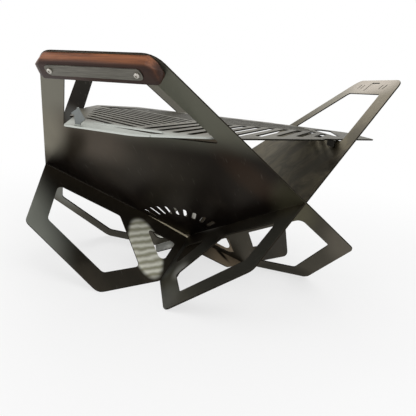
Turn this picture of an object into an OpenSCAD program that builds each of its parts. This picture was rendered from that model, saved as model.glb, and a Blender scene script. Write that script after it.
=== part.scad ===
// Flat-pack charcoal grill: three notched steel sheets lock into a three-sided fire bowl on open
// loop legs, with a slotted cooking grate that lies in the three windows and a wooden carrying grip.
// Each sheet is drawn flat: X runs level across it, Y runs up its slope from the bowl's apex, and Z
// is its outer side. The sheets are then leant back and turned about the bowl's upright axis.

/* [Sheets] */
// Thickness of each steel sheet
sheet_t = 2; // [1.5:0.5:2.5]
// Slope of each sheet from level, in degrees
slope = 43; // [41:1:45]
// Distance from the apex to the top edge, along the sheet
blank_top = 400; // [390:5:420]
// Half the width of the top edge
top_half = 72; // [66:2:78]
// Lean of the outer edges from the sheet's centre line, in degrees
edge_lean = 29.4; // [28:0.2:30]
// Corner radius at the top edge
top_r = 26; // [16:2:28]
// Height of the leg tips above the apex, along the sheet
leg_tip_rise = 59.5; // [54:0.5:64]
// Corner radius of the leg tips
leg_tip_r = 12; // [8:1:16]
// Depth of the feet below the apex, along the sheet
foot_drop = 69; // [64:1:74]
// Half the distance across the two feet of one sheet
foot_half = 191; // [186:1:196]
// Corner radius of the feet
foot_r = 18; // [12:1:20]

/* [Handle window] */
// Width of the bar across the top
top_bar = 33; // [30:1:36]
// Distance from the apex to the sill, along the sheet
sill_rise = 265.5; // [263:0.5:268]
// Width of the two slanted straps
strap_w = 30.3; // [28:0.1:31]
// Corner radius at the top of the window
window_r = 9; // [5:1:12]
// Corner radius at the ends of the sill
sill_r = 3.5; // [1:0.5:4]

/* [Leg loops] */
// Width of the outer and lower bars
leg_bar = 29; // [24:1:32]
// Width of the bar along the crossing with the next sheet
crossing_bar = 28; // [24:1:30]
// Width of the bar along the inner edge
inner_bar = 12.5; // [10:0.5:14]
// Distance from the centre line to the upright web of the leg
web_start = 74; // [70:1:78]
// Width of that upright web
web_w = 38; // [34:1:42]
// Corner radius inside the leg holes
leg_hole_r = 8; // [5:1:9]

/* [Joints between sheets] */
// Play of a sheet in its slit, on each side
slit_play = 0.3; // [0.2:0.05:0.5]
// Distance from the apex at which a pair's two slits meet
slit_meet = 101; // [98:1:110]
// Radius of the clearance hole at the apex
apex_r = 7; // [6:0.5:9]

/* [Vents] */
// Number of slots in the arc
vent_count = 9; // [5:2:9]
// Radius at which the slots start
vent_r0 = 67; // [65:1:70]
// Length of a slot
vent_len = 24; // [16:1:26]
// Width of a slot
vent_w = 6; // [4:0.5:6.5]
// Angle from one slot to the next, in degrees
vent_pitch = 10.5; // [9.5:0.25:10.5]

// Radius of the air and ash opening that each rear sheet has in place of the vents
ash_r = 88; // [70:1:90]
// Distance from that opening to the crossings with the next sheets
ash_rim = 7; // [6:0.5:11]

/* [Hanging slots] */
// Width of the slots in the top bars of the rear sheets
hang_slot_w = 2.6; // [2:0.2:3]
// Distance of the slot pairs from the centre line
hang_pair_x = 38; // [34:1:42]

/* [Grate] */
// Thickness of the grate
grate_t = 2; // [1.5:0.5:3]
// Lean of the grate, which lies higher on the left sheet's side, in degrees
grate_lean = 1.75; // [0.5:0.25:2]
// Turn of the loose grate about its own middle, in degrees
grate_turn = 1.2; // [0:0.2:1.2]
// Distance that the loose grate lies in front of the bowl's axis
grate_forward = 8; // [4:1:8]
// Distance that it lies to the right of that axis
grate_right = 2; // [0:0.5:3]
// Distance from the grate's middle to the edges across the bowl's corners
corner_cut = 189.5; // [184:0.5:190]
// Distance that a lobe's sides are set back from those edges
lobe_setback = 6.5; // [5:0.5:9]
// Distance along those edges from their middle to the step into a lobe
lobe_step = 79; // [70:1:85]
// Reach of a lobe's outer edge
lobe_reach = 269; // [262:1:270]
// Offset of the outer edge's blunt end from the lobe's centre line
lobe_blunt_x = 37.5; // [25:0.5:45]
// Reach at which the slanted end of a lobe meets the lobe's side
lobe_side_reach = 191; // [186:1:194]
// Width of a slot in the grate
grate_slot_w = 9.5; // [7:0.5:11]
// Distance from one slot to the next
grate_pitch = 19.7; // [18:0.1:22]
// Solid border along the edges across the bowl's corners
grate_border = 25; // [18:1:28]
// Reach at which the slots of a lobe stop
slot_reach = 197; // [190:1:200]
// Height of the hooked ear on the front lobe
ear_h = 22.4; // [18:0.2:26]
// Depth of the locating lug under the right lobe
lug_h = 11; // [8:1:12]

/* [Grip] */
// Thickness of the wooden grip
grip_t = 15; // [12:1:18]
// Height of the grip, along the sheet
grip_h = 28; // [26:1:30]
// Half the length of the grip at its widest
grip_half = 81; // [78:1:82]
// Rounding of the grip's long edges
grip_round = 5; // [3:0.5:6]
// Distance from a screw to the end of the metal plate on the grip
plate_end = 6; // [5:0.5:8]
// Height of the plate
plate_h = 15; // [13:1:16]
// Thickness of the plate
plate_t = 1.5; // [1:0.25:2]
// Distance between the two screws
screw_spacing = 110; // [100:1:112]
// Diameter of the screws
screw_d = 4; // [3:1:4]

/* [Hidden] */
$fn = 40;
arc_step = 15;

front_az = 180;
right_az = 300;
left_az = 60;
sector = 120;

// Two neighbouring sheets meet on the lines x = +-crossing * y of their own planes.
crossing = sqrt(3) * cos(slope);
crossing_angle = atan(crossing);
pair_angle = acos(1 - 1.5 * pow(sin(slope), 2));
slit_w = sheet_t * (1 + abs(cos(pair_angle))) / sin(pair_angle) + 2 * slit_play;
slit_overrun = 0.5;

foot_y = -foot_drop;
apex_z = foot_drop * sin(slope);
edge_dir = [-sin(edge_lean), cos(edge_lean)];
top_corner = [top_half, blank_top];
leg_tip = top_corner + edge_dir * (leg_tip_rise - blank_top) / edge_dir.y;
foot_corner = [foot_half, foot_y];
inner_setback = slit_w / 2;

function unit(v) = v / norm(v);
function left_of(d) = [-d.y, d.x];
// Edges are [point, direction], with the steel on their left.
function moved(edge, w) = [edge[0] + left_of(unit(edge[1])) * w, edge[1]];
function meet(a, b) =
    let (c = a[1].x * b[1].y - a[1].y * b[1].x, d = b[0] - a[0])
    a[0] + a[1] * (d.x * b[1].y - d.y * b[1].x) / c;
function with_r(p, r) = [p.x, p.y, r];
function flat(p) = [p.x, p.y];

// The centre of the round that radius p.z puts on corner p of an outline.
function round_centre(before, p, after) =
    let (u = unit(flat(before) - flat(p)), v = unit(flat(after) - flat(p)))
    flat(p) + unit(u + v) * p.z / sin(acos(u * v) / 2);

function round_points(before, p, after) =
    p.z == 0 ? [flat(p)] :
    let (u = unit(flat(before) - flat(p)),
         v = unit(flat(after) - flat(p)),
         run = p.z / tan(acos(u * v) / 2),
         centre = round_centre(before, p, after),
         from = flat(p) + u * run - centre,
         to = flat(p) + v * run - centre,
         start = atan2(from.y, from.x),
         sweep = (atan2(to.y, to.x) - start + 540) % 360 - 180,
         steps = max(2, ceil(abs(sweep) / arc_step)))
    [for (i = [0:steps]) let (a = start + sweep * i / steps) centre + p.z * [cos(a), sin(a)]];

// An outline given as [x, y, corner radius] rows becomes plain points with its rounds.
function rounded(rows) =
    let (n = len(rows))
    [for (i = [0:n - 1]) each round_points(rows[(i + n - 1) % n], rows[i], rows[(i + 1) % n])];
function mirrored(rows) = [for (i = [len(rows) - 1:-1:0]) [-rows[i].x, rows[i].y, rows[i].z]];

// ---- the flat blank ----
inner_edge = moved([[0, 0], [crossing, -1]], inner_setback);
foot_edge = [foot_corner, [1, 0]];
shin_edge = [foot_corner, leg_tip - foot_corner];
outer_edge = [leg_tip, edge_dir];
crossing_edge = [[0, 0], [-crossing, -1]];

blank_half = [
    with_r(meet(inner_edge, foot_edge), 3),
    with_r(foot_corner, foot_r),
    with_r(leg_tip, leg_tip_r),
    with_r(top_corner, top_r)];
blank_rows = concat([[0, meet(inner_edge, [[0, 0], [0, 1]]).y, 0]], blank_half, mirrored(blank_half));

web_outer = [[web_start + web_w, 0], [0, -1]];
web_inner = [[web_start, 0], [0, 1]];
big_hole = [
    with_r(meet(moved(foot_edge, leg_bar), web_outer), leg_hole_r),
    with_r(meet(moved(foot_edge, leg_bar), moved(shin_edge, leg_bar)), leg_hole_r),
    with_r(meet(moved(shin_edge, leg_bar), moved(outer_edge, leg_bar)), leg_hole_r),
    with_r(meet(moved(outer_edge, leg_bar), moved(crossing_edge, crossing_bar)), leg_hole_r),
    with_r(meet(moved(crossing_edge, crossing_bar), web_outer), leg_hole_r)];
small_hole_r = leg_hole_r / 2;
small_hole = [
    with_r(meet(moved([[0, 0], [crossing, -1]], inner_bar), web_inner), leg_hole_r),
    with_r(meet(web_inner, moved(crossing_edge, crossing_bar)), small_hole_r),
    with_r(meet(moved(crossing_edge, crossing_bar), moved([[0, 0], [crossing, -1]], inner_bar)),
           small_hole_r)];

sill_z = apex_z + sill_rise * sin(slope) + sheet_t / 2 * cos(slope);
window_top = blank_top - top_bar;
window_side = moved(outer_edge, strap_w);
function window_x(y) = meet(window_side, [[0, y], [1, 0]]).x;
window_half = [
    with_r([window_x(sill_rise), sill_rise], sill_r),
    with_r([window_x(window_top), window_top], window_r)];

module round_slot(length, width) {
    translate([0, -width / 2]) square([length, width]);
    circle(d = width);
    translate([length, 0]) circle(d = width);
}

module vent_arc() {
    for (i = [0:vent_count - 1])
        rotate(90 + (i - (vent_count - 1) / 2) * vent_pitch)
            translate([vent_r0 + vent_w / 2, 0]) round_slot(vent_len - vent_w, vent_w);
}

// A slit on one crossing line, either from the apex outward or from the outer edge inward.
module slit(side, from_apex) {
    reach = from_apex ? slit_meet + slit_overrun : blank_top;
    start = from_apex ? 0 : slit_meet - slit_overrun;
    rotate(90 - side * crossing_angle) translate([start, -slit_w / 2]) square([reach - start, slit_w]);
}

module ash_opening() {
    lines = moved([[0, 0], [crossing, 1]], ash_rim);
    tip = meet(lines, [[0, 0], [0, 1]]);
    corner = meet(lines, [[0, ash_r], [1, 0]]);
    intersection() {
        circle(r = ash_r);
        polygon(rounded([with_r(tip, 3), with_r(corner, 0), [-corner.x, corner.y, 0]]));
    }
}

module flat_blank(slits_from_apex) {
    difference() {
        polygon(rounded(blank_rows));
        polygon(rounded(concat(window_half, mirrored(window_half))));
        for (side = [0, 1]) mirror([side, 0]) {
            polygon(rounded(big_hole));
            polygon(rounded(small_hole));
        }
        slit(-1, slits_from_apex[0]);
        slit(1, slits_from_apex[1]);
        circle(r = apex_r);
    }
}

// Two pairs of short slots and a hooked slot in a rear sheet's top bar.
hang_y = window_top + top_bar / 2;
hang_pair_gap = 12;
hang_short = 8;
hook_drop = 18;
hook_arm = 24;
module hang_slots() {
    for (x = [-hang_pair_x, hang_pair_x], dx = [-hang_pair_gap / 2, hang_pair_gap / 2])
        translate([x + dx, hang_y - hang_short / 2]) rotate(90) round_slot(hang_short, hang_slot_w);
    translate([hook_arm / 2, hang_y - hook_drop / 2]) rotate(90) round_slot(hook_drop, hang_slot_w);
    translate([-hook_arm / 2, hang_y + hook_drop / 2]) round_slot(hook_arm, hang_slot_w);
}

screw_y = blank_top - 13;
screw_hole_r = screw_d / 2 + 0.1;
module at_screws() {
    for (x = [-screw_spacing / 2, screw_spacing / 2]) translate([x, screw_y, 0]) children();
}

module sheet_steel() color([0.23, 0.22, 0.2]) linear_extrude(height = sheet_t, center = true) children();

// ---- from the flat drawing to the standing grill ----
g_dir = [sin(sector / 2), cos(sector / 2) * cos(slope)];
tip_round = round_centre(foot_corner, with_r(leg_tip, leg_tip_r), top_corner);
back_reach = g_dir * tip_round + leg_tip_r * norm(g_dir) + cos(sector / 2) * sin(slope) * sheet_t / 2;
grip_face = sheet_t / 2 + grip_t;
grip_top = blank_top - 1;
front_reach = (grip_top - grip_round) * cos(slope) + (grip_face - grip_round) * sin(slope) + grip_round;
frame_x = (front_reach - back_reach) / 2;

module stand_up(azimuth)
    translate([frame_x, 0, apex_z]) rotate([0, 0, azimuth + 90]) rotate([180 - slope, 0, 0]) children();

ground_size = 900;
module on_ground() {
    difference() {
        children();
        translate([-ground_size / 2, -ground_size / 2, -ground_size])
            cube([ground_size, ground_size, ground_size]);
    }
}

module front_sheet() {
    on_ground() stand_up(front_az) sheet_steel() difference() {
        flat_blank([true, true]);
        vent_arc();
        at_screws() circle(r = screw_hole_r);
    }
}

module rear_sheet(azimuth, slits_from_apex) {
    on_ground() stand_up(azimuth) sheet_steel() difference() {
        flat_blank(slits_from_apex);
        ash_opening();
        hang_slots();
    }
}

module right_sheet() rear_sheet(right_az, [false, true]);
module left_sheet() rear_sheet(left_az, [false, false]);

// ---- the grate, drawn about its own middle with its top face at zero ----
half_sector = sector / 2;
side_cut = corner_cut - lobe_setback;
// A point in a lobe's own frame (reach, offset), on a line that runs parallel to the edge across a
// bowl corner: its distance from the grate's middle, the way along it, and the lobe's side.
function on_edge(distance, along, side) =
    [distance * cos(half_sector) + along * sin(half_sector),
     side * (distance * sin(half_sector) - along * cos(half_sector))];
// The way along such a line at which it comes to a given reach of the lobe.
function along_at(distance, reach) = (reach - distance * cos(half_sector)) / sin(half_sector);

step_r = 2;
tip_r = 7;
blunt_r = 25;
side_r = 5;
lobe_rows = [
    with_r(on_edge(corner_cut, lobe_step, -1), step_r),
    with_r(on_edge(side_cut, lobe_step, -1), step_r),
    with_r(on_edge(side_cut, along_at(side_cut, lobe_reach), -1), tip_r),
    [lobe_reach, lobe_blunt_x, blunt_r],
    with_r(on_edge(side_cut, along_at(side_cut, lobe_side_reach), 1), side_r),
    with_r(on_edge(side_cut, lobe_step, 1), step_r),
    with_r(on_edge(corner_cut, lobe_step, 1), step_r)];
function turned(row, a) =
    [row.x * cos(a) - row.y * sin(a), row.x * sin(a) + row.y * cos(a), row.z];
grate_rows = [for (a = [front_az, right_az, left_az + 360]) each [for (row = lobe_rows) turned(row, a)]];

// The slots of each third lie parallel to one lobe's centre line and stop short of the next one's.
first_slot = 11;
spine = 10;
slot_count = floor((side_cut / sin(half_sector) - first_slot) / grate_pitch);
module slot_field() {
    for (i = [0:slot_count]) {
        y = first_slot + i * grate_pitch;
        far = min(slot_reach, (corner_cut - grate_border - y * sin(half_sector)) / cos(half_sector));
        near = min(y / tan(half_sector) - spine / 2 / sin(half_sector),
                   (slot_reach - y * sin(half_sector)) / cos(half_sector));
        if (far + near > 2 * grate_slot_w)
            translate([-far + grate_slot_w / 2, -y]) round_slot(far + near - grate_slot_w, grate_slot_w);
    }
}

// Outside the slots a tapered opening follows the outer edge of each lobe.
bar_w = 9;
rim_w = 29;
taper_w = 8;
rim_open = slot_reach + bar_w;
rim_opening = [
    [rim_open, -lobe_blunt_x - 18, taper_w / 3], [rim_open + taper_w, -lobe_blunt_x - 18, taper_w / 3],
    [lobe_reach - rim_w, lobe_blunt_x + 6, 5],
    [lobe_reach - rim_w * sqrt(2), lobe_blunt_x + 16, 2], [rim_open, lobe_blunt_x + 2, 2]];

// Two pairs of short slits in the front lobe's rim.
rim_slit_len = 8;
rim_slit_w = 2.5;
rim_slit_pair_x = 37.5;
rim_slit_gap = 13;
rim_slit_reach = lobe_reach - rim_w / 2;
module rim_slits() {
    for (x = [-rim_slit_pair_x, rim_slit_pair_x], dx = [-rim_slit_gap / 2, rim_slit_gap / 2])
        translate([rim_slit_reach, x + dx - rim_slit_len / 2]) rotate(90)
            round_slot(rim_slit_len, rim_slit_w);
}

// The right lobe's near side lies on its sill, and the lean lifts the rest of the grate.
seat_gap = 0.3;
seat = turned(with_r(on_edge(side_cut, along_at(side_cut, sill_rise * cos(slope)), -1), 0),
              right_az + grate_turn);
grate_z = sill_z + seat_gap + grate_t * cos(grate_lean) - seat.y * sin(grate_lean);
module at_grate()
    translate([frame_x - grate_forward, -grate_right, grate_z])
        rotate([grate_lean, 0, 0]) rotate(grate_turn) children();

// A plate that stands on edge across a lobe, its outer face at the given reach.
module edge_plate(azimuth, reach, x0, rows)
    rotate(azimuth) translate([reach, 0, 0]) rotate([90, 0, -90]) translate([x0, 0, 0])
        linear_extrude(height = grate_t) polygon(rounded(rows));

// The ear at the front lobe's left corner: its neck, its slanted back and a hook on its outer side.
ear_reach = lobe_reach - 12;
ear_x = 36;
neck_x = 6;
neck_w = 7;
neck_h = 2.5;
hook_h = 12.6;
ear_rows = [
    [neck_x + neck_w, -grate_t, 0], [neck_x, -grate_t, 0], [neck_x, neck_h, 0], [0, neck_h + 4.5, 1],
    [neck_x + 5.5, ear_h, 1], [neck_x + 5.5, ear_h - 4, 0.5], [neck_x + 2 * neck_w, hook_h, 1],
    [neck_x + neck_w + 1, hook_h - 1.6, 0.5], [neck_x + neck_w + 1.5, hook_h - 5, 1],
    [neck_x + neck_w, neck_h, 0]];

// The lug hangs inside the right sheet, and the foot stands on the left sheet's sill.
lug_w = 26;
lug_x = 92;
lug_reach = 182;
foot_x = 60;
foot_reach = 200.5;
foot_low = turned([foot_reach, -foot_x - lug_w, 0], left_az + grate_turn);
foot_h = grate_z + foot_low.y * sin(grate_lean) - sill_z - seat_gap;
function lug_rows(h) = [[0, -grate_t / 2, 0], [0, -h, 3], [lug_w, -h, 3], [lug_w, -grate_t / 2, 0]];

module cooking_grate() {
    color([0.66, 0.67, 0.66]) at_grate() {
        translate([0, 0, -grate_t]) linear_extrude(height = grate_t) difference() {
            polygon(rounded(grate_rows));
            for (a = [0, sector, 2 * sector]) rotate(a) slot_field();
            for (a = [front_az, right_az, left_az]) rotate(a) polygon(rounded(rim_opening));
            rotate(front_az) rim_slits();
        }
        edge_plate(front_az, ear_reach, ear_x, ear_rows);
        edge_plate(right_az, lug_reach, lug_x, lug_rows(lug_h));
        edge_plate(left_az, foot_reach, foot_x, lug_rows(foot_h));
    }
}

// ---- the grip on the front sheet's top bar ----
grip_low = grip_top - grip_h;
grip_wide_y = grip_top - 11.5;
grip_end_in = 6;
grip_rows = [
    [grip_half - grip_end_in, grip_low, 4],
    [grip_half, grip_wide_y, 6],
    [top_half - grip_end_in, grip_top, 10]];

module grip_solid() {
    intersection() {
        linear_extrude(height = grip_face)
            polygon(rounded(concat(grip_rows, mirrored(grip_rows))));
        rotate([90, 0, 90]) translate([0, 0, -grip_half]) linear_extrude(height = 2 * grip_half)
            polygon(rounded([
                [grip_low, sheet_t / 2, 1], [grip_top, sheet_t / 2, 1],
                [grip_top, grip_face, grip_round], [grip_low, grip_face, grip_round]]));
    }
}

module grip() {
    color([0.36, 0.17, 0.09]) stand_up(front_az) difference() {
        grip_solid();
        at_screws() cylinder(h = 2 * grip_face, r = screw_hole_r);
    }
}

plate_len = screw_spacing + 2 * plate_end;
plate_r = 6;
plate_half = [[plate_len / 2, -plate_h / 2, plate_r], [plate_len / 2, plate_h / 2, plate_r]];
module grip_plate() {
    color([0.6, 0.6, 0.58]) stand_up(front_az) difference() {
        translate([0, screw_y, grip_face]) linear_extrude(height = plate_t)
            polygon(rounded(concat(plate_half, mirrored(plate_half))));
        at_screws() cylinder(h = 2 * grip_face, r = screw_hole_r);
    }
}

head_r = screw_d * 0.85;
head_h = screw_d * 0.55;
socket_r = screw_d * 0.32;
nut_h = screw_d * 0.8;
nut_r = screw_d;
cap_r = screw_d * 0.75;
thread_play = 0.03;
head_z = grip_face + plate_t;
nut_z = -sheet_t / 2 - nut_h;

module grip_screws() {
    color([0.7, 0.7, 0.7]) stand_up(front_az) at_screws() difference() {
        union() {
            translate([0, 0, nut_z]) cylinder(h = head_z - nut_z, d = screw_d);
            translate([0, 0, head_z]) rotate_extrude()
                polygon([[0, 0], [head_r, 0], [head_r, head_h * 0.35],
                         for (a = [20:20:60]) [head_r * 0.62 + head_r * 0.38 * cos(a),
                                               head_h * 0.35 + head_h * 0.65 * sin(a)],
                         [head_r * 0.62, head_h], [0, head_h]]);
        }
        translate([0, 0, head_z + head_h * 0.35]) cylinder(h = head_h, r = socket_r, $fn = 6);
    }
}

module grip_nuts() {
    color([0.62, 0.62, 0.62]) stand_up(front_az) at_screws() difference() {
        union() {
            translate([0, 0, nut_z]) cylinder(h = nut_h, r = nut_r, $fn = 6);
            translate([0, 0, nut_z - 1]) cylinder(h = 1, r = cap_r);
            translate([0, 0, nut_z - 1]) rotate([180, 0, 0]) rotate_extrude()
                polygon([[0, 0], for (a = [0:15:75]) cap_r * [cos(a), sin(a)], [0, cap_r]]);
        }
        translate([0, 0, nut_z - 0.1]) cylinder(h = nut_h + 0.2, r = screw_d / 2 + thread_play);
    }
}

front_sheet();
right_sheet();
left_sheet();
cooking_grate();
grip();
grip_plate();
grip_screws();
grip_nuts();
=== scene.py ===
"""A flat-pack charcoal grill: three notched steel sheets locked into a fire bowl on open leg loops,
a slotted cooking grate in the three windows, and a wooden carrying grip on the front sheet."""

import math

import bmesh
import bpy
import numpy as np
from mathutils import Matrix, Vector


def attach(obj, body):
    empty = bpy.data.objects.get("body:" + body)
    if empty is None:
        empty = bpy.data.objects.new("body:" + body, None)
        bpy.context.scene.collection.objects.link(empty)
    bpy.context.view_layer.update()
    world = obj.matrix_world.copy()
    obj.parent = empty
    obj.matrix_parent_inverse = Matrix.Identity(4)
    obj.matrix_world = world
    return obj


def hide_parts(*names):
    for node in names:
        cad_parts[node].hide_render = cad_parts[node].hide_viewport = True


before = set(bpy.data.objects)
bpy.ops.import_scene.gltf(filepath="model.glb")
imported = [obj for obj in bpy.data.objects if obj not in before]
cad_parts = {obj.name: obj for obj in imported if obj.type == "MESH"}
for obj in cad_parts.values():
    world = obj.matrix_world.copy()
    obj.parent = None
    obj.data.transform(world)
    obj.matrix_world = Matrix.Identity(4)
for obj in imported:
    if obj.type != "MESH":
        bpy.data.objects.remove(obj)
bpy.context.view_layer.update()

# ---- Camera ----
# A hand-held view from the grip side, a little above the grate, tipped slightly.
# Its place, aim and lens were measured from how the three flat sheets line up.
CAMERA_AT = Vector((-0.7196, -0.3140, 0.2888))
CAMERA_YAW = 24.71
CAMERA_PITCH = -12.31
CAMERA_ROLL = 3.67
FOCAL_PX = 499.8
PRINCIPAL_PX = (176.1, 196.7)
IMAGE_PX = 416
SENSOR_MM = 36.0

yaw, pitch, roll = (math.radians(a) for a in (CAMERA_YAW, CAMERA_PITCH, CAMERA_ROLL))
forward = Vector((math.cos(pitch) * math.cos(yaw), math.cos(pitch) * math.sin(yaw), math.sin(pitch)))
level_right = Vector((math.sin(yaw), -math.cos(yaw), 0.0))
level_up = level_right.cross(forward)
camera_right = math.cos(roll) * level_right + math.sin(roll) * level_up
camera_up = math.cos(roll) * level_up - math.sin(roll) * level_right

camera_data = bpy.data.cameras.new("camera")
camera_data.sensor_width = SENSOR_MM
camera_data.lens = SENSOR_MM * FOCAL_PX / IMAGE_PX
camera_data.shift_x = (IMAGE_PX / 2 - PRINCIPAL_PX[0]) / IMAGE_PX
camera_data.shift_y = (PRINCIPAL_PX[1] - IMAGE_PX / 2) / IMAGE_PX
camera_data.clip_start, camera_data.clip_end = 0.01, 50.0
camera = bpy.data.objects.new("camera", camera_data)
turn = Matrix((camera_right, camera_up, -forward)).transposed()
camera.matrix_world = Matrix.Translation(CAMERA_AT) @ turn.to_4x4()
bpy.context.scene.collection.objects.link(camera)
bpy.context.scene.camera = camera

# ---- Studio ----
# A white floor that keeps a faint soft shadow and fades to plain white further out, a white world,
# and three large soft lamps.
bpy.context.scene.view_settings.view_transform = "Standard"
FLOOR_HALF = 4.0
FLOOR_WHITE = 0.9
SHADOW_LEFT = 0.3
SHADOW_REACH = (0.45, 1.1)
WORLD_LIGHT = 0.6
LAMP_AIM = Vector((0, 0, 0.15))


class Nodes:
    """Adds shader nodes in one line: inputs given by name or number are linked or set."""

    def __init__(self, tree):
        self.tree = tree
        tree.nodes.clear()

    def add(self, kind, inputs=None, **settings):
        node = self.tree.nodes.new(kind)
        for key, value in settings.items():
            setattr(node, key, value)
        for key, value in (inputs or {}).items():
            if isinstance(value, bpy.types.NodeSocket):
                self.tree.links.new(value, node.inputs[key])
            else:
                node.inputs[key].default_value = value
        return node

    def math(self, operation, a, b=0.0):
        return self.add("ShaderNodeMath", {0: a, 1: b}, operation=operation).outputs[0]

    def dot(self, vector, direction):
        node = self.add("ShaderNodeVectorMath", {0: vector, 1: tuple(direction)}, operation="DOT_PRODUCT")
        return node.outputs["Value"]

    def step(self, value, low, high, out_low=0.0, out_high=1.0):
        """Rises smoothly from out_low at low to out_high at high."""
        node = self.add(
            "ShaderNodeMapRange",
            {"Value": value, "From Min": low, "From Max": high, "To Min": out_low, "To Max": out_high},
            interpolation_type="SMOOTHSTEP",
        )
        return node.outputs["Result"]

    def noise(self, vector, scale, detail=3.0, roughness=0.55, distortion=0.0):
        node = self.add(
            "ShaderNodeTexNoise",
            {"Vector": vector, "Scale": scale, "Detail": detail, "Roughness": roughness,
             "Distortion": distortion},
        )
        return node.outputs["Fac"]

    def mix(self, amount, a, b):
        node = self.add("ShaderNodeMix", {0: amount, 6: a, 7: b}, data_type="RGBA")
        return node.outputs[2]

    def stretched(self, vector, scale):
        return self.add("ShaderNodeMapping", {"Vector": vector, "Scale": scale}).outputs["Vector"]

    def surface(self, shader):
        self.add("ShaderNodeOutputMaterial", {"Surface": shader})


def new_material(name):
    """A material with an empty node tree, and the helper that adds linked nodes to it."""
    material = bpy.data.materials.new(name)
    material.use_nodes = True
    return material, Nodes(material.node_tree)


def seen_directly(n):
    """1 for what the camera, a reflection or glass looks at, 0 for light that falls on things."""
    rays = n.add("ShaderNodeLightPath")
    seen = n.math("MAXIMUM", rays.outputs["Is Camera Ray"], rays.outputs["Is Glossy Ray"])
    return n.math("MAXIMUM", seen, rays.outputs["Is Transmission Ray"])


floor_mesh = bpy.data.meshes.new("floor")
corners = [(x * FLOOR_HALF, y * FLOOR_HALF, 0) for x, y in ((-1, -1), (1, -1), (1, 1), (-1, 1))]
floor_mesh.from_pydata(corners, [], [(0, 1, 2, 3)])
floor = bpy.data.objects.new("floor", floor_mesh)
bpy.context.scene.collection.objects.link(floor)
floor_material, n = new_material("floor")
floor_diffuse = n.add("ShaderNodeBsdfDiffuse", {"Color": (FLOOR_WHITE, FLOOR_WHITE, FLOOR_WHITE, 1)})
floor_glow = n.add("ShaderNodeEmission", {"Color": (1, 1, 1, 1), "Strength": 1.0})
from_middle = n.add(
    "ShaderNodeVectorMath", {0: n.add("ShaderNodeTexCoord").outputs["Object"]}, operation="LENGTH"
).outputs["Value"]
glowing = n.step(from_middle, *SHADOW_REACH, 1.0 - SHADOW_LEFT, 1.0)
floor_mix = n.add(
    "ShaderNodeMixShader",
    {0: n.math("MULTIPLY", seen_directly(n), glowing), 1: floor_diffuse.outputs[0], 2: floor_glow.outputs[0]},
)
n.surface(floor_mix.outputs[0])
floor_mesh.materials.append(floor_material)

world = bpy.data.worlds.new("studio")
world.use_nodes = True
bpy.context.scene.world = world
w = Nodes(world.node_tree)
strength = w.math("ADD", w.math("MULTIPLY", seen_directly(w), 1.0 - WORLD_LIGHT), WORLD_LIGHT)
background = w.add("ShaderNodeBackground", {"Color": (1, 1, 1, 1), "Strength": strength})
w.add("ShaderNodeOutputWorld", {"Surface": background.outputs[0]})


def lamp(name, at, size, power):
    """A square soft lamp at one point, aimed at the middle of the part."""
    data = bpy.data.lights.new(name, "AREA")
    data.size, data.energy = size, power
    light = bpy.data.objects.new(name, data)
    light.location = at
    light.rotation_euler = (LAMP_AIM - Vector(at)).to_track_quat("-Z", "Y").to_euler()
    bpy.context.scene.collection.objects.link(light)


lamp("key", (-1.2, -1.6, 2.2), 1.6, 26)
lamp("fill", (-2.0, 1.4, 1.4), 1.8, 14)
lamp("back", (1.6, 1.0, 2.0), 1.6, 16)

# ---- Sheets ----
# Three 2 mm steel sheets, laser cut, slit into one another and left with an oiled dark finish. They
# are near black and brown over the fire bowl, greyer on the leg loops and mottled inside. The straps
# are greyer too, with painted light and shade that differ on the two sides of the sheet's middle. Soft
# ovals of painted reflection, highlight and shade lie in the flat sheet's own plane.
SLOPE = math.radians(43.0)
FOOT_DROP = 0.069
APEX = Vector((0.02535, 0.0, FOOT_DROP * math.sin(SLOPE)))
CROSSING = math.sqrt(3.0) * math.cos(SLOPE)
FACE = 0.001
INNER_SIDE = (0.0002, -0.0002)
BLOTCH_SCALE, CLOUD_SCALE, HAZE_SCALE, SCRATCH_SCALE = 24.0, 6.0, 14.0, 300.0
LEG_FADE = (-0.01, 0.06)
STRAP_LIGHT_SWAP = (-0.02, 0.02)
STEEL_METALLIC, GLINT_AND_BARE_METALLIC = 0.55, 0.05
STEEL_SHEEN = (0.70, 0.66, 0.56, 1)


def sheet_axes(azimuth):
    """Level across, up the slope, and outward from a sheet that faces the given azimuth."""
    a = math.radians(azimuth)
    across = Vector((-math.sin(a), math.cos(a), 0.0))
    up_slope = Vector((math.cos(a) * math.cos(SLOPE), math.sin(a) * math.cos(SLOPE), math.sin(SLOPE)))
    return across, up_slope, across.cross(up_slope)


def srgb(r, g, b):
    """A colour as seen on screen, 0 to 255, as the linear colour that the shaders take."""
    c = np.array([r, g, b]) / 255.0
    lin = np.where(c <= 0.04045, c / 12.92, ((c + 0.055) / 1.055) ** 2.4)
    return (float(lin[0]), float(lin[1]), float(lin[2]), 1.0)


def lay_painted_light(n, flat_place, colour, painted_light_ovals):
    """Lays soft ovals of painted reflection, highlight and shade on a colour. Each is (middle, half sizes,
    turn in degrees, colour, strength).
    """
    for (x, y), (half_x, half_y), turned, painted_colour, strength in painted_light_ovals:
        oval = n.add(
            "ShaderNodeMapping",
            {"Vector": flat_place, "Location": (x, y, 0), "Rotation": (0, 0, math.radians(turned)),
             "Scale": (half_x, half_y, 1)},
            vector_type="TEXTURE",
        )
        near = n.add("ShaderNodeTexGradient", {0: oval.outputs[0]}, gradient_type="SPHERICAL")
        colour = n.mix(n.step(near.outputs["Fac"], 0.0, 0.75, 0.0, strength), colour, srgb(*painted_colour))
    return colour
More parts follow.
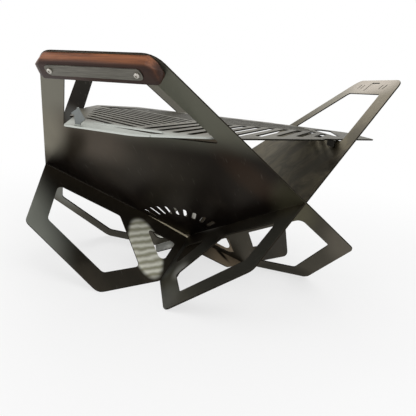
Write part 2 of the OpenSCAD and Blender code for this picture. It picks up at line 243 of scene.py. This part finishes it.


# For each side of each sheet: the wall's darker and lighter colour, the legs, the strap on the
# negative and on the positive side with its painted light or shade, how blotchy it is, and the soft
# ovals of painted reflection, highlight and shade.
OUTSIDE = {
    "wall": ((31, 27, 25), (40, 36, 33)), "legs": (58, 55, 48), "straps": ((112, 108, 99), (92, 91, 81)),
    "blotchy": 0.25, "strap_rise": (0.225, 0.268),
    # Soft ovals of painted reflection: a paler band across the wall and a reddish brown one at the right.
    "painted_light_ovals": [
        ((-0.010, 0.205), (0.110, 0.075), 0, (62, 59, 55), 0.7),
        ((0.140, 0.190), (0.040, 0.085), 30, (64, 44, 33), 0.6),
    ],
}
INSIDE = {
    "wall": ((36, 32, 25), (84, 80, 68)), "legs": (50, 48, 42), "straps": ((132, 126, 116), (150, 145, 133)),
    "blotchy": 1.0, "strap_rise": (0.225, 0.300),
    # Painted shade deep in the bowl around the apex.
    "painted_light_ovals": [((0.0, 0.0), (0.07, 0.06), 0, (16, 12, 11), 0.9)],
}
FRONT_OUTSIDE = {
    "wall": ((28, 23, 21), (33, 28, 25)), "legs": (58, 55, 48), "straps": ((122, 120, 110), (100, 100, 89)),
    "blotchy": 0.2, "strap_rise": (0.232, 0.292),
    # Painted reflections and highlights on the wall and the left strap, a painted dark streak, and painted
    # shade low on both legs.
    "painted_light_ovals": [
        ((-0.010, 0.205), (0.120, 0.070), 0, (54, 50, 45), 0.6),
        ((-0.080, 0.248), (0.080, 0.080), 0, (88, 80, 72), 0.95),
        ((-0.118, 0.225), (0.026, 0.070), -38, (44, 38, 30), 0.8),
        ((-0.152, 0.245), (0.040, 0.090), -32, (128, 124, 112), 1.0),
        ((0.140, 0.200), (0.034, 0.090), 30, (54, 38, 28), 0.6),
        ((0.190, 0.146), (0.040, 0.085), 0, (86, 83, 66), 0.95),
        ((-0.222, 0.088), (0.050, 0.090), 0, (112, 114, 110), 1.0),
        ((-0.172, -0.030), (0.085, 0.075), 0, (12, 11, 9), 1.0),
        ((0.150, -0.060), (0.100, 0.038), 0, (6, 5, 3), 1.0),
        ((0.252, 0.070), (0.040, 0.090), 0, (92, 87, 78), 0.9),
    ],
}
RIGHT_INSIDE = {
    "wall": ((24, 20, 12), (76, 70, 54)), "legs": (66, 65, 59), "straps": ((96, 90, 79), (118, 115, 107)),
    "blotchy": 1.0, "strap_rise": (0.250, 0.365),
    # Painted highlight on the top bar, painted shade down the wall, painted glints and reflections on the
    # front leg, and a painted white glow where the wall is seen through the front vents.
    "painted_light_ovals": [
        ((0.010, 0.396), (0.125, 0.052), 0, (160, 153, 146), 1.0),
        ((-0.120, 0.215), (0.030, 0.060), 14, (19, 16, 11), 0.9),
        ((-0.145, 0.110), (0.050, 0.060), 0, (48, 45, 38), 0.8),
        ((-0.085, 0.055), (0.100, 0.050), 0, (24, 20, 18), 0.8),
        ((-0.030, 0.012), (0.060, 0.045), 0, (16, 12, 11), 0.9),
        ((-0.160, -0.062), (0.055, 0.040), 0, (90, 91, 87), 0.9),
        ((-0.112, -0.032), (0.030, 0.020), 0, (165, 165, 160), 0.8),
        ((-0.080, -0.054), (0.020, 0.018), 0, (92, 93, 88), 0.8),
        ((0.065, -0.050), (0.090, 0.040), 0, (232, 234, 228), 1.0),
        ((0.050, 0.055), (0.130, 0.046), 0, (255, 254, 250), 1.0),
    ],
}
LEFT_INSIDE = {
    "wall": ((62, 55, 45), (72, 64, 53)), "legs": (48, 45, 39), "straps": ((92, 90, 82), (14, 12, 12)),
    "blotchy": 0.3, "strap_rise": (0.225, 0.268),
    # Painted reflections, painted shade, and a thin painted shadow line where the front sheet's edge meets
    # this sheet.
    "painted_light_ovals": [
        ((0.262, 0.062), (0.074, 0.135), 0, (140, 143, 135), 1.0),
        ((-0.118, -0.010), (0.050, 0.070), 0, (24, 21, 17), 1.0),
        ((-0.066, -0.054), (0.074, 0.064), 0, (150, 134, 112), 1.0),
        ((-0.046, -0.042), (0.005, 0.028), -24, (16, 13, 10), 1.0),
        ((0.014, -0.026), (0.036, 0.030), 0, (50, 44, 35), 1.0),
        ((0.130, 0.262), (0.026, 0.040), 0, (64, 65, 64), 0.9),
    ],
}
SHEETS = {
    "front_sheet": (180.0, FRONT_OUTSIDE, INSIDE),
    "right_sheet": (300.0, OUTSIDE, RIGHT_INSIDE),
    "left_sheet": (60.0, OUTSIDE, LEFT_INSIDE),
}


def side_colour(n, s, t, flat_place, side):
    """One side of a sheet: blotched wall, plainer legs, straps with painted light and shade, then the ovals
    of painted reflection, highlight and shade.
    """
    blotch = n.noise(flat_place, BLOTCH_SCALE, 6.0, 0.66, 0.8)
    cloud = n.noise(flat_place, CLOUD_SCALE, 3.0, 0.5)
    mottle = n.mix(side["blotchy"], cloud, blotch)
    wall = n.mix(n.step(mottle, 0.36, 0.66), srgb(*side["wall"][0]), srgb(*side["wall"][1]))
    beyond = n.math("SUBTRACT", n.math("ABSOLUTE", s), n.math("MULTIPLY", t, CROSSING))
    colour = n.mix(n.step(beyond, *LEG_FADE), wall, srgb(*side["legs"]))
    # The straps are greyer, with painted light and shade that differ on the two sides of the sheet's middle.
    strap = n.mix(n.step(s, *STRAP_LIGHT_SWAP), srgb(*side["straps"][0]), srgb(*side["straps"][1]))
    colour = n.mix(n.step(t, *side["strap_rise"]), colour, strap)
    return lay_painted_light(n, flat_place, colour, side["painted_light_ovals"])


def sheet_material(name, azimuth, outside, inside):
    """Oiled dark steel for one sheet; its painted reflections, highlights and shade lie by distance across
    and up the sheet.
    """
    material, n = new_material(name)
    across, up_slope, outward = sheet_axes(azimuth)
    here = n.add("ShaderNodeTexCoord").outputs["Object"]
    local = n.add("ShaderNodeVectorMath", {0: here, 1: tuple(APEX)}, operation="SUBTRACT").outputs[0]
    s = n.dot(local, across)
    t = n.dot(local, up_slope)
    outer = n.dot(local, outward)
    flat_place = n.add("ShaderNodeCombineXYZ", {"X": s, "Y": t, "Z": 0.0}).outputs[0]
    inner = n.step(outer, *INNER_SIDE)
    colour = n.mix(
        inner,
        side_colour(n, s, t, flat_place, outside),
        side_colour(n, s, t, flat_place, inside),
    )
    metallic = STEEL_METALLIC
    # The left sheet also gets a painted reflection and a painted highlight line inside.
    if name == "left_sheet_steel":
        colour, glint_and_bare = painted_glint_marks(n, s, t, flat_place, inner, colour)
        metallic = n.step(glint_and_bare, 0.0, 1.0, STEEL_METALLIC, GLINT_AND_BARE_METALLIC)
    # Faint clouds and fine scratches of handling, and a dark, rough cut edge.
    haze = n.noise(n.stretched(flat_place, (1.0, 0.4, 1.0)), HAZE_SCALE, 5.0, 0.6, 0.4)
    colour = n.mix(n.step(haze, 0.45, 0.75, 0.0, 0.12), colour, srgb(110, 98, 84))
    scratch = n.noise(n.stretched(flat_place, (1.0, 0.12, 1.0)), SCRATCH_SCALE, 2.0, 0.5)
    colour = n.mix(n.step(scratch, 0.64, 0.74, 0.0, 0.10), colour, srgb(140, 138, 130))
    edge = n.step(n.math("ABSOLUTE", outer), 0.95 * FACE, 0.88 * FACE)
    colour = n.mix(edge, colour, srgb(44, 40, 34))

    satin = n.math("ADD", n.math("MULTIPLY", haze, 0.22), 0.30)
    bump = n.add("ShaderNodeBump", {"Strength": 0.04, "Distance": 0.0003, "Height": scratch})
    steel = n.add(
        "ShaderNodeBsdfPrincipled",
        {"Base Color": colour, "Metallic": metallic,
         "Roughness": n.math("MAXIMUM", satin, n.math("MULTIPLY", edge, 0.9)),
         "Specular IOR Level": 0.15, "Specular Tint": STEEL_SHEEN, "Normal": bump.outputs[0]},
    )
    n.surface(steel.outputs[0])
    return material


GLINT_AT, GLINT_HALF, GLINT_TURN = (0.090, -0.010, 0), (0.030, 0.060, 1), math.radians(6)
RIPPLE_SCALE = 27.0
LINE_OFF, LINE_LEAN = 0.0052, 0.062
LINE_HALF, LINE_TAPER = 0.0021, 0.016
LINE_START, LINE_END, LINE_SIDE = (0.001, 0.003), (0.094, 0.082), (0.0003, -0.0004)
BARE_BELOW = (-0.012, -0.03)


def painted_glint_marks(n, s, t, flat_place, inner, colour):
    """Two painted bright places inside the left sheet: a painted reflection in pale ripples on the web,
    and a painted highlight line that tapers along the crossing with the front sheet. Gives the colour,
    and where the steel is less metallic: under both marks and below the apex."""
    web = n.add(
        "ShaderNodeMapping",
        {"Vector": flat_place, "Location": GLINT_AT, "Rotation": (0, 0, GLINT_TURN),
         "Scale": GLINT_HALF},
        vector_type="TEXTURE",
    )
    near = n.add("ShaderNodeTexGradient", {0: web.outputs[0]}, gradient_type="SPHERICAL")
    ripple = n.add(
        "ShaderNodeTexWave",
        {"Vector": flat_place, "Scale": RIPPLE_SCALE, "Distortion": 2.2, "Detail": 2.0,
         "Detail Scale": 1.6},
        bands_direction="Y",
    )
    pale = n.mix(ripple.outputs["Fac"], srgb(176, 174, 150), srgb(255, 255, 240))
    amount = n.math("MULTIPLY", n.step(near.outputs["Fac"], 0.02, 0.24), inner)
    colour = n.mix(amount, colour, pale)
    skew = math.hypot(CROSSING, 1.0)
    along = n.math("DIVIDE", n.math("ADD", n.math("MULTIPLY", s, CROSSING), t), skew)
    off = n.math("DIVIDE", n.math("SUBTRACT", s, n.math("MULTIPLY", t, CROSSING)), skew)
    middle = n.math("SUBTRACT", LINE_OFF, n.math("MULTIPLY", along, LINE_LEAN))
    half = n.math("SUBTRACT", LINE_HALF, n.math("MULTIPLY", along, LINE_TAPER))
    depth = n.math("SUBTRACT", n.math("ABSOLUTE", n.math("SUBTRACT", off, middle)), half)
    line = n.step(depth, *LINE_SIDE)
    for ends in (LINE_END, LINE_START):
        line = n.math("MULTIPLY", line, n.step(along, *ends))
    line = n.math("MULTIPLY", line, inner)
    under = n.step(t, *BARE_BELOW)
    glint_and_bare = n.math("MAXIMUM", n.math("MAXIMUM", amount, line), under)
    return n.mix(line, colour, srgb(250, 238, 206)), glint_and_bare


for sheet_name, (sheet_azimuth, sheet_outside, sheet_inside) in SHEETS.items():
    steel = sheet_material(sheet_name + "_steel", sheet_azimuth, sheet_outside, sheet_inside)
    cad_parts[sheet_name].data.materials[0] = steel

# ---- Webs under the apex ----
# Of each pair of sheets one runs on under the apex, past the line where it crosses the other, and
# the other's edge stops at its face. The left sheet runs on past both its neighbours, the right one
# past the front sheet only. Each web is part of its sheet's own cut steel.
REAR_REACH = 0.0245
FRONT_REACH = 0.0194
EDGE_STOP = 0.00177
LAP = 0.0047
HOLE_R = 0.0072
OVER_HOLE_R = 0.0088
HOLE_FROM = -0.65
OVER_HALF_TURN = 80
WEB_TOP = 0.0085
WEB_POINTS = 12
WEB_FACE = 0.98 * FACE
SKEW = math.hypot(CROSSING, 1.0)


def plate_between(name, upper, lower, azimuth):
    """A closed slab in a sheet's plane between two rows of (across, up) points, cut at the ground."""
    across, up_slope, outward = (np.array(v) for v in sheet_axes(azimuth))
    rows = []
    for side in (WEB_FACE, -WEB_FACE):
        for row in (upper, lower):
            up = np.maximum(row[:, 1], -FOOT_DROP + side / math.tan(SLOPE))
            rows.append(np.array(APEX) + row[:, :1] * across + up[:, None] * up_slope + side * outward)
    count = len(upper)
    i = np.arange(count - 1)
    outer_up, outer_low, inner_up, inner_low = (k * count + i for k in range(4))
    walls = [
        (outer_up, outer_low, outer_low + 1, outer_up + 1),
        (inner_up, inner_up + 1, inner_low + 1, inner_low),
        (outer_up, outer_up + 1, inner_up + 1, inner_up),
        (outer_low, inner_low, inner_low + 1, outer_low + 1),
    ]
    faces = np.concatenate([np.stack(wall, 1) for wall in walls]).tolist()
    first, last = np.arange(4) * count, np.arange(4) * count + count - 1
    faces += [first[[0, 2, 3, 1]].tolist(), last[[0, 1, 3, 2]].tolist()]
    mesh = bpy.data.meshes.new(name)
    mesh.from_pydata(np.concatenate(rows).tolist(), [], faces)
    piece = bpy.data.objects.new(name, mesh)
    bpy.context.scene.collection.objects.link(piece)
    return piece


def web_rows(left_reach, right_reach):
    """The upper row lies on the sheet's own steel and round or over the apex hole, the lower one is
    the cut edge. With no reach on the left, the web stops short of the neighbour there."""
    down = np.linspace(WEB_TOP, FOOT_DROP, WEB_POINTS)
    lap = np.stack([CROSSING * down + LAP * SKEW, -down], 1)
    right = right_reach * SKEW
    far_right = CROSSING * FOOT_DROP - right
    if left_reach:
        over = np.radians(np.linspace(-OVER_HALF_TURN, OVER_HALF_TURN, WEB_POINTS))
        hole = OVER_HOLE_R * np.stack([np.sin(over), np.cos(over)], 1)
        upper = np.concatenate([lap[::-1] * (-1, 1), hole, lap])
        left = left_reach * SKEW
        x = np.linspace(left - CROSSING * FOOT_DROP, far_right, len(upper))
        return upper, np.stack([x, -np.maximum(left - x, right + x) / CROSSING], 1)
    under = np.linspace(HOLE_FROM, math.atan(CROSSING), WEB_POINTS)
    upper = np.concatenate([HOLE_R * np.stack([np.sin(under), -np.cos(under)], 1), lap])
    x = np.linspace((EDGE_STOP - right_reach) * SKEW / 2, far_right, len(upper))
    return upper, np.stack([x, -(right + x) / CROSSING], 1)


WEB_REACHES = {"left_sheet": (REAR_REACH, FRONT_REACH), "right_sheet": (None, REAR_REACH)}
for sheet_name, reaches in WEB_REACHES.items():
    web = plate_between(sheet_name + "_web", *web_rows(*reaches), SHEETS[sheet_name][0])
    web.data.materials.append(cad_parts[sheet_name].data.materials[0])
    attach(web, "stand")

# ---- Cooking grate ----
# A 2 mm stainless plate with slots cut in three fields, an ear that stands up at the front, a lug and
# a foot that hang below. It is brushed and bright on top at the front and darker olive further back;
# its slot walls carry painted shade and its front rim a painted highlight.
REAR_OLIVE_X = (-0.225, -0.15)
RIM_X = (-0.165, -0.185)
PLATE_TOP, PLATE_LEAN = 0.2384, 0.0305
GRATE_SHEEN = (0.55, 0.53, 0.48, 1)


def grate_material():
    """Brushed stainless, darker olive over the middle and the back, with painted shade on the slot walls and
    a painted highlight on the front rim.
    """
    material, n = new_material("grate_steel")
    here = n.add("ShaderNodeTexCoord").outputs["Object"]
    place = n.add("ShaderNodeSeparateXYZ", {0: here})
    brushed = n.noise(n.stretched(here, (1.0, 30.0, 1.0)), 40.0, 3.0, 0.6)
    cloud = n.noise(here, 9.0, 4.0, 0.6)
    colour = n.mix(n.step(brushed, 0.3, 0.7), srgb(142, 147, 142), srgb(180, 186, 180))
    rear = n.step(place.outputs["X"], *REAR_OLIVE_X)
    olive = n.mix(n.step(cloud, 0.35, 0.65), srgb(54, 51, 40), srgb(82, 79, 67))
    colour = n.mix(rear, colour, olive)
    facing = n.add("ShaderNodeSeparateXYZ", {0: n.add("ShaderNodeNewGeometry").outputs["Normal"]})
    top = n.step(facing.outputs["Z"], 0.5, 0.9)
    plate_top = n.math("ADD", n.math("MULTIPLY", place.outputs["Y"], PLATE_LEAN), PLATE_TOP)
    standing = n.step(n.math("SUBTRACT", place.outputs["Z"], plate_top), 0.0, 0.0004)
    # Side faces: painted shade on the slot walls and other cut edges, a painted highlight on the front rim,
    # and blue grey on the standing ear.
    rim_highlight_and_ear = n.mix(standing, srgb(196, 200, 194), srgb(124, 128, 127))
    slot_shade_and_rim = n.mix(n.step(place.outputs["X"], *RIM_X), srgb(24, 22, 16), rim_highlight_and_ear)
    colour = n.mix(top, slot_shade_and_rim, colour)
    steel = n.add(
        "ShaderNodeBsdfPrincipled",
        {"Base Color": colour, "Metallic": STEEL_METALLIC, "Specular IOR Level": 0.2,
         "Specular Tint": GRATE_SHEEN,
         "Roughness": n.math("ADD", n.math("MULTIPLY", brushed, 0.2), 0.25)},
    )
    n.surface(steel.outputs[0])
    return material


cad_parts["cooking_grate"].data.materials[0] = grate_material()

# ---- Grip ----
# A solid hardwood bar, rounded along its edges, oiled and lacquered to a soft sheen. Two screws
# through its face hold it on the front sheet's top bar.
FACE_SHADE = (0.010, 0.0155)
END_SHADE = (0.068, 0.078)
SHADE_STRENGTH = 0.92


def wood_material():
    """Hardwood whose grain runs along the bar: long streaks in a reddish brown."""
    material, n = new_material("grip_wood")
    here = n.add("ShaderNodeTexCoord").outputs["Object"]
    along = n.stretched(here, (1.0, 0.06, 1.0))
    streak = n.noise(along, 190.0, 5.0, 0.62, 0.5)
    fine = n.noise(along, 700.0, 3.0, 0.6)
    colour = n.mix(n.step(streak, 0.3, 0.7), srgb(92, 50, 27), srgb(144, 88, 53))
    colour = n.mix(n.step(fine, 0.5, 0.75, 0.0, 0.4), colour, srgb(56, 28, 17))
    across, _, outward = sheet_axes(SHEETS["front_sheet"][0])
    local = n.add("ShaderNodeVectorMath", {0: here, 1: tuple(APEX)}, operation="SUBTRACT").outputs[0]
    front = n.step(n.dot(local, outward), *FACE_SHADE)
    end = n.step(n.dot(local, across), *END_SHADE)
    shade = n.math("MULTIPLY", n.math("MAXIMUM", front, end), SHADE_STRENGTH)
    colour = n.mix(shade, colour, srgb(32, 16, 10))
    bump = n.add("ShaderNodeBump", {"Strength": 0.12, "Distance": 0.0003, "Height": fine})
    wood = n.add(
        "ShaderNodeBsdfPrincipled",
        {"Base Color": colour, "Roughness": 0.5, "Specular IOR Level": 0.22, "Normal": bump.outputs[0],
         "Coat Weight": 0.12, "Coat Roughness": 0.25},
    )
    n.surface(wood.outputs[0])
    return material


GRIP_LOW, GRIP_TOP, GRIP_BACK, GRIP_FACE = 0.371, 0.399, 0.001, 0.016
GRIP_EDGE_R, LOW_EDGE_R, BACK_EDGE_R, END_R = 0.0052, 0.003, 0.001, 0.006
EDGE_POINTS = 9
END_TURN, END_CROWN = 0.92, 0.0012
CAP_RINGS = [0.0, 0.55, 0.85, 0.97, 1.0]
GRIP_HALF = ((0.371, 0.0755), (0.376, 0.0785), (0.385, 0.0795), (0.391, 0.0765), (0.399, 0.0665))


def grip_section():
    """The bar's section as (up the slope, outward) points, rounded more along its front edges."""
    corners = [(GRIP_LOW, GRIP_BACK, BACK_EDGE_R, 180), (GRIP_LOW, GRIP_FACE, LOW_EDGE_R, 90),
               (GRIP_TOP, GRIP_FACE, GRIP_EDGE_R, 0), (GRIP_TOP, GRIP_BACK, BACK_EDGE_R, -90)]
    points = []
    for up, out, r, start in corners:
        middle = (up + r * (1 if up == GRIP_LOW else -1), out + r * (1 if out == GRIP_BACK else -1))
        a = np.radians(np.linspace(start + 90, start, EDGE_POINTS))
        points.append(np.stack([middle[0] + r * np.cos(a), middle[1] + r * np.sin(a)], 1))
    return np.concatenate(points)


def grip_mesh():
    """A bar whose ends lean with its height and turn softly into its front face."""
    section = grip_section()
    middle = section.mean(0)
    rings = []
    for end in (-1, 1):
        for k in CAP_RINGS[::-end]:
            ring = middle + (section - middle) * k
            half = np.interp(ring[:, 0], *zip(*GRIP_HALF))
            depth = np.clip((ring[:, 1] - (GRIP_FACE - END_R)) / END_R, 0, 1)
            half = half - END_R * (1 - np.sqrt(1 - END_TURN * depth**2)) - END_CROWN * k**8
            rings.append(np.column_stack([end * half, ring]))
    across, up_slope, outward = (np.array(v) for v in sheet_axes(SHEETS["front_sheet"][0]))
    local = np.concatenate(rings)
    count = len(section)
    places = np.array(APEX) + local[:, :1] * across + local[:, 1:2] * up_slope + local[:, 2:] * outward
    i = np.arange((len(rings) - 1) * count)
    beside = np.where(i % count == count - 1, i - count + 1, i + 1)
    faces = np.stack([i, beside, beside + count, i + count], 1).tolist()
    mesh = bpy.data.meshes.new("grip_bar")
    mesh.from_pydata(places.tolist(), [], faces)
    return mesh


grip_bar = bpy.data.objects.new("grip_bar", grip_mesh())
bpy.context.scene.collection.objects.link(grip_bar)
weld = bmesh.new()
weld.from_mesh(grip_bar.data)
bmesh.ops.remove_doubles(weld, verts=weld.verts, dist=1e-6)
bmesh.ops.recalc_face_normals(weld, faces=weld.faces)
weld.to_mesh(grip_bar.data)
weld.free()
grip_bar.data.shade_smooth()
grip_bar.data.materials.append(wood_material())
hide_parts("grip")
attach(grip_bar, "stand")

# ---- Plate and screws ----
# A bare brushed steel plate on the grip's face. Two button-head screws go through plate, grip and
# top bar into cap nuts behind it.


def brushed_material(name, low, high):
    """Fine brushed steel, its lines running along the grip."""
    material, n = new_material(name)
    here = n.add("ShaderNodeTexCoord").outputs["Object"]
    lines = n.noise(n.stretched(here, (1.0, 0.03, 1.0)), 1600.0, 2.0, 0.6)
    colour = n.mix(n.step(lines, 0.3, 0.7), low, high)
    steel = n.add(
        "ShaderNodeBsdfPrincipled",
        {"Base Color": colour, "Metallic": 1.0,
         "Roughness": n.math("ADD", n.math("MULTIPLY", lines, 0.15), 0.28)},
    )
    n.surface(steel.outputs[0])
    return material


plate_steel = brushed_material("plate_steel", srgb(92, 90, 83), srgb(122, 119, 111))
screw_steel = brushed_material("screw_steel", srgb(176, 172, 164), srgb(208, 204, 196))
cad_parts["grip_plate"].data.materials[0] = plate_steel
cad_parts["grip_screws"].data.materials[0] = screw_steel
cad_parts["grip_nuts"].data.materials[0] = screw_steel
